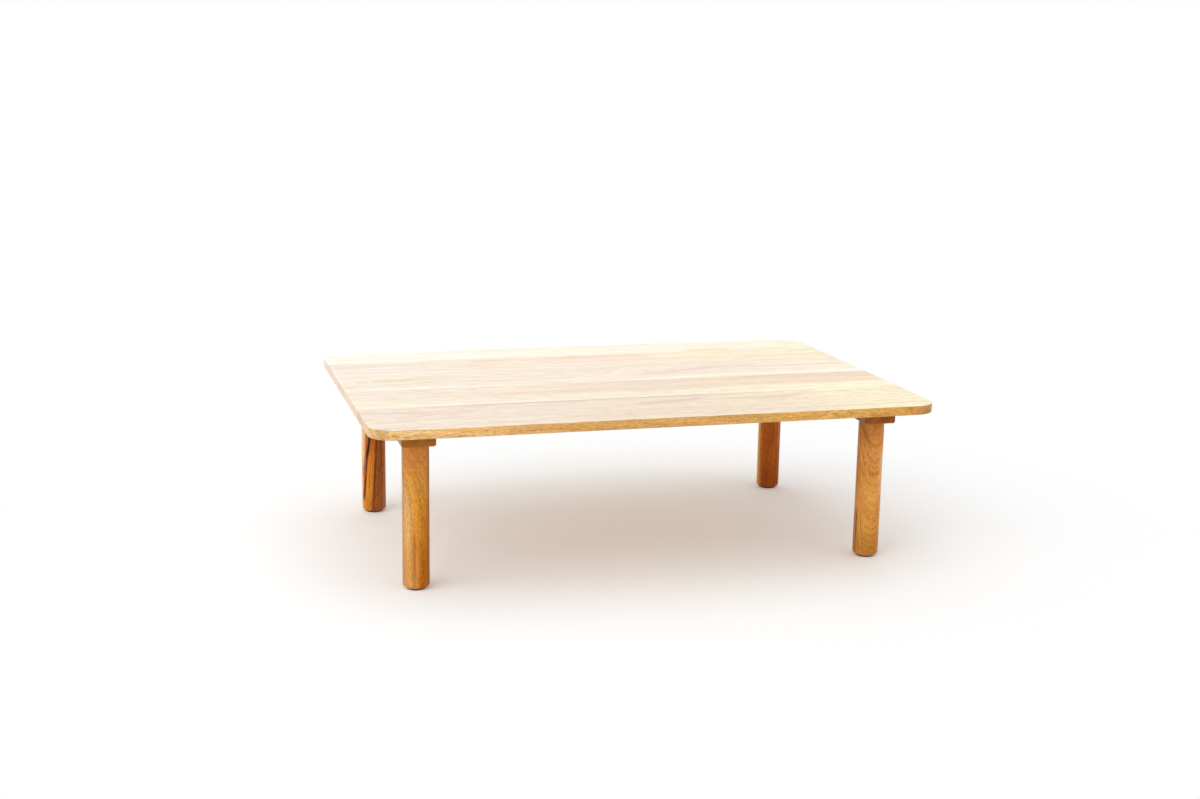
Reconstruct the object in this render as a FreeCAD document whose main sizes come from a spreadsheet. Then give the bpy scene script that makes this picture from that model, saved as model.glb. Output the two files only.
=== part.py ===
import FreeCAD, Part
import math
import os
import Sketcher

# Low rectangular table with a rounded solid-wood top, standing on four plain round legs.
# The top is glued up from five boards. Two battens run across under it and hold it flat.
# Each leg screws up into a batten on a hanger bolt, so the table packs flat.
# Units are millimetres. The origin is on the floor under the middle of the top, with
# X along the length of the table, Y from its front to its back, and Z up.

SIZES = {
    # top: five boards with their grain along X, numbered from front to back
    "top_length": 1200,
    "top_thickness": 20,
    "board_1_width": 200,
    "board_2_width": 172,
    "board_3_width": 166,
    "board_4_width": 147,
    "board_5_width": 115,
    "corner_radius": 50,
    "top_arris": 2,
    # battens: one under each end of the top
    "batten_width": 70,
    "batten_thickness": 32,
    "batten_side_inset": 65,
    "batten_arris": 5,
    # legs: insets run from the edges of the top to the axis of a leg
    "leg_length": 300,
    "leg_diameter": 55,
    "leg_end_inset": 104,
    "leg_side_inset": 110,
    "foot_round": 7.5,
    "leg_top_ease": 0.8,
    # glides: a dark pad under each foot
    "glide_diameter": 39,
    "glide_thickness": 3,
    "glide_ease": 0.6,
    # hanger bolts: machine thread above the joint, wood thread below it
    "bolt_diameter": 8,
    "bolt_gap": 1,
    "bolt_collar": 4,
    "machine_root": 6.6,
    "machine_pitch": 1.25,
    "machine_ridge": 1.1,
    "wood_length": 42,
    "wood_root": 5.4,
    "wood_pitch": 3.2,
    "wood_ridge": 2,
    "wood_point": 7,
    # threaded inserts: screwed into the battens from below
    "insert_length": 25,
    "insert_diameter": 12,
    "insert_root": 10.4,
    "insert_pitch": 2.5,
    "insert_ridge": 1.8,
    "flange_diameter": 15.5,
    "flange_thickness": 1.2,
    # batten screws: pan heads on washers, in slotted holes that let the top swell and shrink
    "screw_leg_gap": 50,
    "screw_diameter": 4.5,
    "screw_root": 3.1,
    "screw_pitch": 2,
    "screw_ridge": 1.2,
    "screw_point": 4,
    "head_diameter": 9,
    "head_height": 3.2,
    "head_round": 2,
    "cross_length": 5,
    "cross_width": 1.2,
    "cross_depth": 1.6,
    "washer_diameter": 12,
    "washer_thickness": 1.2,
    "washer_bore": 5,
    "slot_width": 5.5,
    "slot_travel": 3,
    "recess_diameter": 14,
    "recess_depth": 12,
    # bores and their clearances
    "thread_fit": 0.05,
    "hole_spare": 1.5,
    "pilot_cover": 3.5,
    "pilot_spare": 1,
    # how far a ridge roots itself in its core, and a cutting box reaches past the top
    "ridge_sink": 0.2,
    "cut_margin": 10,
}

PLACES = {
    "top_width": "dims.board_1_width + dims.board_2_width + dims.board_3_width"
                 " + dims.board_4_width + dims.board_5_width",
    "joint_1": "dims.board_1_width - top_width / 2",
    "joint_2": "joint_1 + dims.board_2_width",
    "joint_3": "joint_2 + dims.board_3_width",
    "joint_4": "joint_3 + dims.board_4_width",
    "leg_x": "dims.top_length / 2 - dims.leg_end_inset",
    "leg_y": "top_width / 2 - dims.leg_side_inset",
    "leg_top": "dims.glide_thickness + dims.leg_length",
    "top_base": "leg_top + dims.batten_thickness",
    "batten_length": "top_width - 2 * dims.batten_side_inset",
    "machine_length": "dims.insert_length - dims.bolt_gap",
    "screw_step": "(leg_y - dims.screw_leg_gap) / 2",
    "screw_seat": "leg_top + dims.recess_depth - dims.washer_thickness",
    "screw_shank": "top_base - screw_seat",
    "pilot_depth": "dims.top_thickness - dims.pilot_cover",
    "screw_reach": "screw_shank + pilot_depth - dims.pilot_spare",
}

BOARDS = 5
SCREWS_PER_BATTEN = 5
SAME_LEVEL = 0.001
SAME_DIRECTION = 0.001
ENDS = {"left": -1, "right": 1}
SIDES = {"front": -1, "back": 1}

doc = FreeCAD.newDocument("low_table")
subparts = []


# Sheets

def fill_sheet(name, cells):
    """A spreadsheet with one named cell per row."""
    sheet = doc.addObject("Spreadsheet::Sheet", name)
    for row, (alias, content) in enumerate(cells.items(), start=1):
        sheet.set(f"A{row}", alias)
        sheet.set(f"B{row}", content)
        sheet.setAlias(f"B{row}", alias)
    doc.recompute()
    return sheet


def make_sheets():
    """The driving sizes as plain numbers, and the places worked out from them."""
    dims = fill_sheet("dims", {alias: str(size) for alias, size in SIZES.items()})
    places = fill_sheet("places", {alias: f"={formula}" for alias, formula in PLACES.items()})
    return dims, places


# Shared modelling steps

def require(condition, message):
    """Stop with a plain message unless the condition holds."""
    if not condition:
        raise RuntimeError(message)


def new_body(label):
    """An empty body that may hold several separate solids, listed as a sub-part."""
    body = doc.addObject("PartDesign::Body", label)
    body.Label = label
    body.AllowCompound = True
    return body


def new_subpart(label):
    """A body that is written out as a piece of the table."""
    body = new_body(label)
    subparts.append(body)
    return body


def origin_feature(body, role):
    """One of the body's own origin planes or axes."""
    return next(item for item in body.Origin.OriginFeatures if item.Role == role)


def new_sketch(body, name, role="XY_Plane", level=None):
    """A sketch on one of the body's origin planes, raised by an expression if given."""
    sketch = body.newObject("Sketcher::SketchObject", name)
    sketch.AttachmentSupport = [(origin_feature(body, role), "")]
    sketch.MapMode = "FlatFace"
    if level:
        sketch.setExpression("AttachmentOffset.Base.z", level)
    return sketch


def pin_point(sketch, geometry, point, x_rule, y_rule):
    """Fix one point of a sketch at two expressions; None puts it on that axis."""
    start = sketch.getPoint(geometry, point)
    rules = (("DistanceX", x_rule, start.x, -2), ("DistanceY", y_rule, start.y, -1))
    for kind, rule, value, axis in rules:
        if rule is None:
            sketch.addConstraint(Sketcher.Constraint("PointOnObject", geometry, point, axis))
        else:
            number = sketch.addConstraint(
                Sketcher.Constraint(kind, -1, 1, geometry, point, float(value)))
            sketch.setExpression(f"Constraints[{number}]", rule)


def evaluate(rule):
    """The present value of an expression, used to place sketch geometry before it is bound."""
    return 0.0 if rule is None else float(sheets[0].evalExpression(rule))


def draw_outline(sketch, corners):
    """A closed outline of straight edges through corners given as pairs of expressions."""
    points = [FreeCAD.Vector(evaluate(x_rule), evaluate(y_rule), 0) for x_rule, y_rule in corners]
    first = sketch.GeometryCount
    count = len(points)
    for index, point in enumerate(points):
        following = points[(index + 1) % count]
        sketch.addGeometry(Part.LineSegment(point, following), False)
    for index in range(count):
        following = first + (index + 1) % count
        sketch.addConstraint(Sketcher.Constraint("Coincident", first + index, 2, following, 1))
    for index, (x_rule, y_rule) in enumerate(corners):
        pin_point(sketch, first + index, 1, x_rule, y_rule)


def draw_rectangle(sketch, half_x, half_y):
    """A rectangle about the sketch's origin, from its two half sizes."""
    draw_outline(sketch, [
        (f"-({half_x})", f"-({half_y})"),
        (half_x, f"-({half_y})"),
        (half_x, half_y),
        (f"-({half_x})", half_y),
    ])


def draw_circle(sketch, x_rule, y_rule, radius):
    """A circle with its centre and radius bound to expressions."""
    centre = FreeCAD.Vector(evaluate(x_rule), evaluate(y_rule), 0)
    axis = FreeCAD.Vector(0, 0, 1)
    circle = sketch.addGeometry(Part.Circle(centre, axis, evaluate(radius)), False)
    pin_point(sketch, circle, 3, x_rule, y_rule)
    number = sketch.addConstraint(Sketcher.Constraint("Radius", circle, evaluate(radius)))
    sketch.setExpression(f"Constraints[{number}]", radius)


def draw_slot(sketch, y_rule, travel, radius):
    """A round-ended slot along Y, reaching the travel and a radius each way from its middle."""
    middle = evaluate(y_rule)
    reach = evaluate(travel)
    size = evaluate(radius)
    upper = FreeCAD.Vector(0, middle + reach, 0)
    lower = FreeCAD.Vector(0, middle - reach, 0)
    axis = FreeCAD.Vector(0, 0, 1)
    aside = FreeCAD.Vector(size, 0, 0)
    far = sketch.addGeometry(
        Part.ArcOfCircle(Part.Circle(upper, axis, size), 0, math.pi), False)
    near = sketch.addGeometry(
        Part.ArcOfCircle(Part.Circle(lower, axis, size), math.pi, 2 * math.pi), False)
    left = sketch.addGeometry(Part.LineSegment(upper - aside, lower - aside), False)
    right = sketch.addGeometry(Part.LineSegment(lower + aside, upper + aside), False)
    for first, first_end, second, second_end in (
            (far, 2, left, 1), (left, 2, near, 1), (near, 2, right, 1), (right, 2, far, 1)):
        sketch.addConstraint(
            Sketcher.Constraint("Tangent", first, first_end, second, second_end))
    pin_point(sketch, far, 3, None, f"{y_rule} + {travel}")
    pin_point(sketch, near, 3, None, f"{y_rule} - {travel}")
    number = sketch.addConstraint(Sketcher.Constraint("Radius", far, size))
    sketch.setExpression(f"Constraints[{number}]", radius)


def pad(body, sketch, length):
    """Raise a sketch along its normal."""
    feature = body.newObject("PartDesign::Pad", "Pad")
    feature.Profile = sketch
    feature.setExpression("Length", length)
    doc.recompute()
    return feature


def pocket(body, sketch, depth=None, upwards=True):
    """Cut a sketch into the body, right through it if no depth is given."""
    base = body.Shape.Volume
    feature = body.newObject("PartDesign::Pocket", "Pocket")
    feature.Profile = sketch
    feature.Reversed = upwards
    if depth is None:
        feature.Type = "ThroughAll"
    else:
        feature.setExpression("Length", depth)
    doc.recompute()
    require(feature.Shape.Volume < base, f"{body.Label}: {sketch.Label} cuts nothing")
    return feature


def revolve(body, sketch):
    """Turn a profile in the XZ plane right round the body's Z axis."""
    feature = body.newObject("PartDesign::Revolution", "Revolution")
    feature.Profile = sketch
    feature.ReferenceAxis = (sketch, ["V_Axis"])
    feature.Angle = 360
    doc.recompute()
    return feature


def ease_edges(body, kind, size, chosen):
    """Round or bevel the edges of the body that the test picks."""
    base = body.Tip
    names = [f"Edge{number}" for number, edge in enumerate(base.Shape.Edges, start=1)
             if chosen(edge)]
    require(names, f"{body.Label}: no edge to ease")
    feature = body.newObject(f"PartDesign::{kind}", kind)
    feature.Base = (base, names)
    feature.setExpression("Radius" if kind == "Fillet" else "Size", size)
    doc.recompute()
    return feature


def repeat(body, features, role, length, count, whole=False):
    """A straight row of features, or of the whole body, along one of its origin axes."""
    feature = body.newObject("PartDesign::LinearPattern", "Row")
    if whole:
        feature.TransformMode = "Whole shape"
    else:
        feature.Originals = features
    feature.Direction = (origin_feature(body, role), [""])
    feature.setExpression("Length", length)
    feature.setExpression("Occurrences", count)
    body.Tip = feature
    doc.recompute()
    return feature


def thread(body, name, core, crest, ridge, pitch, start, room):
    """Thread ridges round the body's Z axis, going up from start for as far as room allows.

    The helix is drawn as separate rings: same crest, root and pitch."""
    sketch = new_sketch(body, name, "XZ_Plane")
    root = f"({core} - dims.ridge_sink)"
    draw_outline(sketch, [
        (root, start),
        (crest, f"{start} + {ridge} / 2"),
        (root, f"{start} + {ridge}"),
    ])
    ring = revolve(body, sketch)
    turns = f"floor(({room} - {ridge}) / {pitch}) + 1"
    repeat(body, [ring], "Z_Axis", f"{pitch} * ({turns} - 1)", turns)


def place(body, x_rule, y_rule, z_rule):
    """Bind the body's own origin to a place on the table."""
    for axis, rule in (("x", x_rule), ("y", y_rule), ("z", z_rule)):
        body.setExpression(f"Placement.Base.{axis}", rule)


def lies_at(edge, level):
    """Whether an edge lies wholly at one height of its body."""
    box = edge.BoundBox
    return max(abs(box.ZMin - level), abs(box.ZMax - level)) < SAME_LEVEL


def stands_up(edge):
    """Whether an edge is straight and upright."""
    direction = edge.tangentAt(edge.FirstParameter)
    return edge.Curve.TypeId == "Part::GeomLine" and abs(direction.z) > 1 - SAME_DIRECTION


# Pieces of wood

def make_top_panel():
    """The glued-up panel, shaped as one: rounded corners, eased arrises and pilot holes."""
    panel = new_body("top_panel")
    place(panel, "0", "0", "places.top_base")
    outline = new_sketch(panel, "panel_outline")
    draw_rectangle(outline, "dims.top_length / 2", "places.top_width / 2")
    pad(panel, outline, "dims.top_thickness")
    ease_edges(panel, "Fillet", "dims.corner_radius", stands_up)
    levels = (0, evaluate("dims.top_thickness"))
    ease_edges(panel, "Fillet", "dims.top_arris",
               lambda edge: any(lies_at(edge, level) for level in levels))
    pilots = new_sketch(panel, "pilot_holes")
    for side in ENDS.values():
        draw_circle(pilots, f"{side} * places.leg_x", "-2 * places.screw_step",
                    "dims.screw_diameter / 2 + dims.thread_fit")
    first_pair = pocket(panel, pilots, "places.pilot_depth")
    repeat(panel, [first_pair], "Y_Axis",
           f"{SCREWS_PER_BATTEN - 1} * places.screw_step", str(SCREWS_PER_BATTEN))
    return panel


def make_boards(panel):
    """The boards of the top: what lies between one glue line of the panel and the next."""
    for number in range(1, BOARDS + 1):
        is_first = number == 1
        is_last = number == BOARDS
        near = "-places.top_width / 2" if is_first else f"places.joint_{number - 1}"
        far = "places.top_width / 2" if is_last else f"places.joint_{number}"
        near += " - dims.cut_margin" if is_first else ""
        far += " + dims.cut_margin" if is_last else ""
        strip = doc.addObject("Part::Box", f"strip_{number}")
        strip.setExpression("Length", "dims.top_length + 2 * dims.cut_margin")
        strip.setExpression("Width", f"({far}) - ({near})")
        strip.setExpression("Height", "dims.top_thickness + 2 * dims.cut_margin")
        place(strip, "-dims.top_length / 2 - dims.cut_margin", near,
              "places.top_base - dims.cut_margin")
        board = doc.addObject("Part::Common", f"top_board_{number}")
        board.Label = f"top_board_{number}"
        board.Base = panel
        board.Tool = strip
        subparts.append(board)
    doc.recompute()


def make_batten(end, side):
    """A batten across the grain, bored for two inserts and slotted for a row of screws."""
    batten = new_subpart(f"batten_{end}")
    place(batten, f"{side} * places.leg_x", "0", "places.leg_top")
    outline = new_sketch(batten, "batten_outline")
    draw_rectangle(outline, "dims.batten_width / 2", "places.batten_length / 2")
    pad(batten, outline, "dims.batten_thickness")
    ease_edges(batten, "Fillet", "dims.batten_arris",
               lambda edge: lies_at(edge, 0) or stands_up(edge))

    bores = (("insert_bores", "dims.insert_diameter", "dims.insert_length + dims.hole_spare"),
             ("flange_seats", "dims.flange_diameter", "dims.flange_thickness"))
    for name, diameter, depth in bores:
        sketch = new_sketch(batten, name)
        for direction in SIDES.values():
            draw_circle(sketch, None, f"{direction} * places.leg_y",
                        f"{diameter} / 2 + dims.thread_fit")
        pocket(batten, sketch, depth)

    slots = (("head_recesses", "dims.recess_diameter / 2", "dims.recess_depth"),
             ("shank_slots", "dims.slot_width / 2", None))
    middle = SCREWS_PER_BATTEN // 2
    for name, radius, depth in slots:
        sketch = new_sketch(batten, name)
        for step in range(-middle, middle + 1):
            if step == 0:
                draw_circle(sketch, None, None, radius)
            else:
                draw_slot(sketch, f"{step} * places.screw_step", "dims.slot_travel", radius)
        pocket(batten, sketch, depth)


def make_leg(corner, x_rule, y_rule):
    """A plain round leg with a rounded foot, bored down from the top for its hanger bolt."""
    leg = new_subpart(f"leg_{corner}")
    place(leg, x_rule, y_rule, "dims.glide_thickness")
    section = new_sketch(leg, "leg_section")
    draw_circle(section, None, None, "dims.leg_diameter / 2")
    pad(leg, section, "dims.leg_length")
    length = evaluate("dims.leg_length")
    ease_edges(leg, "Fillet", "dims.foot_round", lambda edge: lies_at(edge, 0))
    ease_edges(leg, "Chamfer", "dims.leg_top_ease", lambda edge: lies_at(edge, length))
    bolt_bore = new_sketch(leg, "bolt_bore", level="dims.leg_length")
    draw_circle(bolt_bore, None, None, "dims.bolt_diameter / 2 + dims.thread_fit")
    pocket(leg, bolt_bore, "dims.wood_length + dims.hole_spare", upwards=False)


def make_glide(corner, x_rule, y_rule):
    """The dark pad that each foot stands on."""
    glide = new_subpart(f"glide_{corner}")
    place(glide, x_rule, y_rule, "0")
    section = new_sketch(glide, "glide_section")
    draw_circle(section, None, None, "dims.glide_diameter / 2")
    pad(glide, section, "dims.glide_thickness")
    ease_edges(glide, "Fillet", "dims.glide_ease", lambda edge: lies_at(edge, 0))


# Hardware

def make_hanger_bolt(corner, x_rule, y_rule):
    """A headless bolt: a wood screw down into the leg, a machine screw up into the insert."""
    bolt = new_subpart(f"hanger_bolt_{corner}")
    place(bolt, x_rule, y_rule, "places.leg_top")
    profile = new_sketch(bolt, "bolt_profile", "XZ_Plane")
    draw_outline(profile, [
        (None, "-dims.wood_length"),
        ("dims.wood_root / 2", "dims.wood_point - dims.wood_length"),
        ("dims.wood_root / 2", "-dims.bolt_collar"),
        ("dims.bolt_diameter / 2", "-dims.bolt_collar"),
        ("dims.bolt_diameter / 2", None),
        ("dims.machine_root / 2", None),
        ("dims.machine_root / 2", "places.machine_length"),
        (None, "places.machine_length"),
    ])
    revolve(bolt, profile)
    thread(bolt, "wood_thread", "dims.wood_root / 2", "dims.bolt_diameter / 2",
           "dims.wood_ridge", "dims.wood_pitch", "(dims.wood_point - dims.wood_length)",
           "(dims.wood_length - dims.wood_point - dims.bolt_collar)")
    thread(bolt, "machine_thread", "dims.machine_root / 2", "dims.bolt_diameter / 2",
           "dims.machine_ridge", "dims.machine_pitch", "dims.machine_pitch / 2",
           "(places.machine_length - dims.machine_pitch / 2)")


def make_insert(corner, x_rule, y_rule):
    """A flanged steel insert, its flange flush with the underside of the batten."""
    insert = new_subpart(f"threaded_insert_{corner}")
    place(insert, x_rule, y_rule, "places.leg_top")
    bore = "dims.bolt_diameter / 2 + dims.thread_fit"
    profile = new_sketch(insert, "insert_profile", "XZ_Plane")
    draw_outline(profile, [
        (bore, None),
        ("dims.flange_diameter / 2", None),
        ("dims.flange_diameter / 2", "dims.flange_thickness"),
        ("dims.insert_root / 2", "dims.flange_thickness"),
        ("dims.insert_root / 2", "dims.insert_length"),
        (bore, "dims.insert_length"),
    ])
    revolve(insert, profile)
    thread(insert, "outer_thread", "dims.insert_root / 2", "dims.insert_diameter / 2",
           "dims.insert_ridge", "dims.insert_pitch",
           "(dims.flange_thickness + dims.insert_pitch / 2)",
           "(dims.insert_length - dims.flange_thickness - dims.insert_pitch / 2)")


def make_screws(end, side):
    """The row of pan-head screws that holds one batten to the top."""
    screws = new_subpart(f"batten_screws_{end}")
    place(screws, f"{side} * places.leg_x", "-2 * places.screw_step", "places.screw_seat")
    profile = new_sketch(screws, "screw_profile", "XZ_Plane")
    draw_outline(profile, [
        (None, "-dims.head_height"),
        ("dims.head_diameter / 2", "-dims.head_height"),
        ("dims.head_diameter / 2", None),
        ("dims.screw_diameter / 2", None),
        ("dims.screw_diameter / 2", "places.screw_shank"),
        ("dims.screw_root / 2", "places.screw_shank"),
        ("dims.screw_root / 2", "places.screw_reach - dims.screw_point"),
        (None, "places.screw_reach"),
    ])
    revolve(screws, profile)
    head_face = -evaluate("dims.head_height")
    ease_edges(screws, "Fillet", "dims.head_round", lambda edge: lies_at(edge, head_face))
    cross = new_sketch(screws, "cross_recess", level="-dims.head_height")
    arm = "dims.cross_length / 2"
    waist = "dims.cross_width / 2"
    draw_outline(cross, [
        (arm, f"-({waist})"), (arm, waist), (waist, waist), (waist, arm),
        (f"-({waist})", arm), (f"-({waist})", waist), (f"-({arm})", waist),
        (f"-({arm})", f"-({waist})"), (f"-({waist})", f"-({waist})"),
        (f"-({waist})", f"-({arm})"), (waist, f"-({arm})"), (waist, f"-({waist})"),
    ])
    pocket(screws, cross, "dims.cross_depth")
    thread(screws, "screw_thread", "dims.screw_root / 2", "dims.screw_diameter / 2",
           "dims.screw_ridge", "dims.screw_pitch",
           "(places.screw_shank + dims.screw_pitch / 2)",
           "(places.screw_reach - dims.screw_point - places.screw_shank"
           " - dims.screw_pitch / 2)")
    repeat(screws, [], "Y_Axis", f"{SCREWS_PER_BATTEN - 1} * places.screw_step",
           str(SCREWS_PER_BATTEN), whole=True)


def make_washers(end, side):
    """The row of flat washers between the screw heads and the floors of their recesses."""
    washers = new_subpart(f"batten_washers_{end}")
    place(washers, f"{side} * places.leg_x", "-2 * places.screw_step", "places.screw_seat")
    ring = new_sketch(washers, "washer_ring")
    draw_circle(ring, None, None, "dims.washer_diameter / 2")
    draw_circle(ring, None, None, "dims.washer_bore / 2")
    pad(washers, ring, "dims.washer_thickness")
    repeat(washers, [], "Y_Axis", f"{SCREWS_PER_BATTEN - 1} * places.screw_step",
           str(SCREWS_PER_BATTEN), whole=True)


# The whole table

def make_table():
    """Every piece, in its place."""
    make_boards(make_top_panel())
    for end, end_side in ENDS.items():
        make_batten(end, end_side)
        make_screws(end, end_side)
        make_washers(end, end_side)
        for depth, depth_side in SIDES.items():
            corner = f"{depth}_{end}"
            x_rule = f"{end_side} * places.leg_x"
            y_rule = f"{depth_side} * places.leg_y"
            make_leg(corner, x_rule, y_rule)
            make_glide(corner, x_rule, y_rule)
            make_hanger_bolt(corner, x_rule, y_rule)
            make_insert(corner, x_rule, y_rule)


def check_and_export():
    """Check every object and every solid, then write one file per sub-part."""
    doc.recompute()
    for item in doc.Objects:
        faults = {"Invalid", "Error"} & set(item.State)
        require(not faults, f"{item.Label} did not compute: {item.State}")
    for item in subparts:
        shape = item.Shape
        require(not shape.isNull() and shape.isValid() and shape.Solids,
                f"{item.Label} has no valid solid")
    os.makedirs("parts", exist_ok=True)
    for item in subparts:
        item.Shape.exportStep(os.path.join("parts", f"{item.Label}.step"))
        print(f"{item.Label}: {len(item.Shape.Solids)} solid(s), "
              f"{item.Shape.Volume / 1000:.2f} cm3")


sheets = make_sheets()
make_table()
check_and_export()
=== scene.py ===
import math

import bpy
from mathutils import Matrix, Vector


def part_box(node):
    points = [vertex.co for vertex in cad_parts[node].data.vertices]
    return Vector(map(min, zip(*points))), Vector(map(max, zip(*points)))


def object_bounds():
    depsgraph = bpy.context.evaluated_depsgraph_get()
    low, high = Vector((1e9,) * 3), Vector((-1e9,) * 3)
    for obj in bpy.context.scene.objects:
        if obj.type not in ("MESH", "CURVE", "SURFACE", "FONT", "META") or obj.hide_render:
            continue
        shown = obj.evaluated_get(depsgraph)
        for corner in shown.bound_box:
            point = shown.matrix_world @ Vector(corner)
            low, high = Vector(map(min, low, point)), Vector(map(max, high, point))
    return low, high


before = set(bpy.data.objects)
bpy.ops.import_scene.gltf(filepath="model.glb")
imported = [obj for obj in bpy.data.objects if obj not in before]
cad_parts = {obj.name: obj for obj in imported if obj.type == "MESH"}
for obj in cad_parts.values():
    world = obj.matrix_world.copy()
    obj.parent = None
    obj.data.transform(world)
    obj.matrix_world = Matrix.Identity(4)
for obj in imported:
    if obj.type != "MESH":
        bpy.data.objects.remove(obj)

# A low table of solid wood in a white studio. Lengths are in metres unless a name says mm,
# colours are written as screen values from 0 to 255, and angles in degrees.

MM = 0.001

cad_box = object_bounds()


# Shader graphs

def tint(red, green, blue):
    """A screen colour, 0 to 255 a channel, as the linear colour that a shader takes."""
    def linear(value):
        share = value / 255
        return share / 12.92 if share <= 0.04045 else ((share + 0.055) / 1.055) ** 2.4
    return (linear(red), linear(green), linear(blue), 1.0)


# The sockets of the mix node that carry its factor, its two colours and its result
MIX_FACTOR = 0
MIX_FIRST = 6
MIX_SECOND = 7
MIX_RESULT = 2

# The range that most of a noise texture keeps to
NOISE_LOW = 0.3
NOISE_HIGH = 0.7


class Graph:
    """Adds nodes to a shader tree. An input may be a plain value or another node's output."""

    def __init__(self, tree):
        self.tree = tree

    def feed(self, socket, value):
        if isinstance(value, bpy.types.NodeSocket):
            self.tree.links.new(value, socket)
        else:
            socket.default_value = value

    def fill(self, node, inputs):
        for key, value in inputs.items():
            self.feed(node.inputs[key], value)

    def add(self, kind, inputs=None, group=None, **settings):
        node = self.tree.nodes.new(kind)
        if group:
            node.node_tree = group
        for name, value in settings.items():
            setattr(node, name, value)
        self.fill(node, inputs or {})
        return node

    def math(self, operation, first, second=0.0, clamp=False):
        inputs = {0: first, 1: second}
        return self.add("ShaderNodeMath", inputs, operation=operation, use_clamp=clamp).outputs[0]

    def sum(self, *values):
        total = values[0]
        for value in values[1:]:
            total = self.math("ADD", total, value)
        return total

    def times(self, *values):
        product = values[0]
        for value in values[1:]:
            product = self.math("MULTIPLY", product, value)
        return product

    def less(self, first, second):
        return self.math("SUBTRACT", first, second)

    def divide(self, first, second):
        return self.math("DIVIDE", first, second)

    def larger(self, first, second):
        return self.math("MAXIMUM", first, second)

    def absolute(self, value):
        return self.math("ABSOLUTE", value)

    def length(self, *values):
        """The length of a line with these parts."""
        return self.math("SQRT", self.sum(*(self.times(value, value) for value in values)))

    def vector(self, operation, first, second):
        return self.add("ShaderNodeVectorMath", {0: first, 1: second},
                        operation=operation).outputs[0]

    def join(self, x, y, z):
        return self.add("ShaderNodeCombineXYZ", {"X": x, "Y": y, "Z": z}).outputs[0]

    def split(self, value):
        return tuple(self.add("ShaderNodeSeparateXYZ", {0: value}).outputs)

    def place(self):
        """The point of the surface, in the table's frame."""
        return self.add("ShaderNodeTexCoord").outputs["Object"]

    def facing(self):
        """The three parts of the direction that the surface faces."""
        return self.split(self.add("ShaderNodeNewGeometry").outputs["Normal"])

    def noise(self, point, scale=1.0, detail=2.0, roughness=0.5, output="Fac"):
        inputs = {"Vector": point, "Scale": scale, "Detail": detail, "Roughness": roughness}
        return self.add("ShaderNodeTexNoise", inputs).outputs[output]

    def ramp(self, value, start, end, low=0.0, high=1.0, smooth=True):
        """The value moved from one range to another, and held at its ends."""
        inputs = {"Value": value, "From Min": start, "From Max": end,
                  "To Min": low, "To Max": high}
        kind = "SMOOTHSTEP" if smooth else "LINEAR"
        return self.add("ShaderNodeMapRange", inputs, interpolation_type=kind).outputs[0]

    def spread(self, noise, low=0.0, high=1.0):
        """A noise texture's usual range moved to another one."""
        return self.ramp(noise, NOISE_LOW, NOISE_HIGH, low, high)

    def mix(self, factor, first, second, blend="MIX"):
        node = self.add("ShaderNodeMix", data_type="RGBA", blend_type=blend)
        self.fill(node, {MIX_FACTOR: factor, MIX_FIRST: first, MIX_SECOND: second})
        return node.outputs[MIX_RESULT]

    def tinted(self, colour, by):
        """A colour multiplied by another."""
        return self.mix(1.0, colour, by, blend="MULTIPLY")

    def bump(self, height, strength, depth_mm):
        """The direction of a surface with a fine relief in it."""
        inputs = {"Height": height, "Strength": strength, "Distance": depth_mm * MM}
        return self.add("ShaderNodeBump", inputs).outputs[0]


def new_group(name, inputs, outputs):
    """An empty node group, its graph, what it is given and what it has to give."""
    tree = bpy.data.node_groups.new(name, "ShaderNodeTree")
    for label, kind in inputs:
        tree.interface.new_socket(label, in_out="INPUT", socket_type=kind)
    for label, kind in outputs:
        tree.interface.new_socket(label, in_out="OUTPUT", socket_type=kind)
    graph = Graph(tree)
    return tree, graph, graph.add("NodeGroupInput").outputs, graph.add("NodeGroupOutput")


def start_material(name):
    """A new material, its graph and its shader."""
    material = bpy.data.materials.new(name)
    material.use_nodes = True
    tree = material.node_tree
    return material, Graph(tree), tree.nodes["Principled BSDF"]


FLOAT = "NodeSocketFloat"
VECTOR = "NodeSocketVector"
COLOUR = "NodeSocketColor"


# Wood: a solid texture in the piece's own frame, in millimetres, with x along the grain

# How long the marks of the grain are along it, and how wide across it
SWAY_MM = (430, 150)
RIPPLE_MM = (75, 16)
MOTTLE_MM = (210, 34)
SILK_MM = (150, 3.2)
FIBRE_MM = (45, 1.5)
PORE_MM = (6, 0.26)

# How far apart two pieces with seeds one apart lie in the noise
SEED_STEP_MM = (931.0, 177.0, 59.0)

# How far the rings stray, and how soft the rim of a dark ring is
SWAY_REACH_MM = 42.0
RIPPLE_REACH_MM = 3.2
DARK_RING_MM = (0.2, 1.6)

# A knot is longer than wide and wavy at its rim, and the rings go round it
KNOT_STRETCH = 1.9
KNOT_WAVE_MM = 5.0
KNOT_BULGE = 1.1
KNOT_COVER = 0.85

# How unevenly the rings are spaced, and how narrow their late wood is
CROWDING = 2.6
CROWDING_RATE = 0.31
CROWDING_LAYER = 3.7
LATE_WOOD_POWER = 3.5

# How fast the ring lines and the broad bands change, per ring and per mm of height
LINE_RATES = (0.9, 0.0016)
BAND_RATES = (0.42, 0.0009)
BAND_LAYER = 11.3

# What each kind of mark adds to the tone, and the tone that leaves a colour as it is
BAND_TONE = 0.62
LINE_TONE = 0.5
SILK_TONE = (-0.13, 0.13)
MOTTLE_TONE = (-0.12, 0.14)
MIDDLE_TONE = 0.42

# How deep the tone marks red, green and blue, and the bounds of the shade that it gives
PALE_DEPTH = (0.17, 0.42, 1.0)
SIDE_DEPTH = (0.26, 0.44, 0.72)
BROWN_DEPTH = (0.26, 0.34, 0.46)
LEAST_SHADE = 0.25
MOST_SHADE = 1.28

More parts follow.
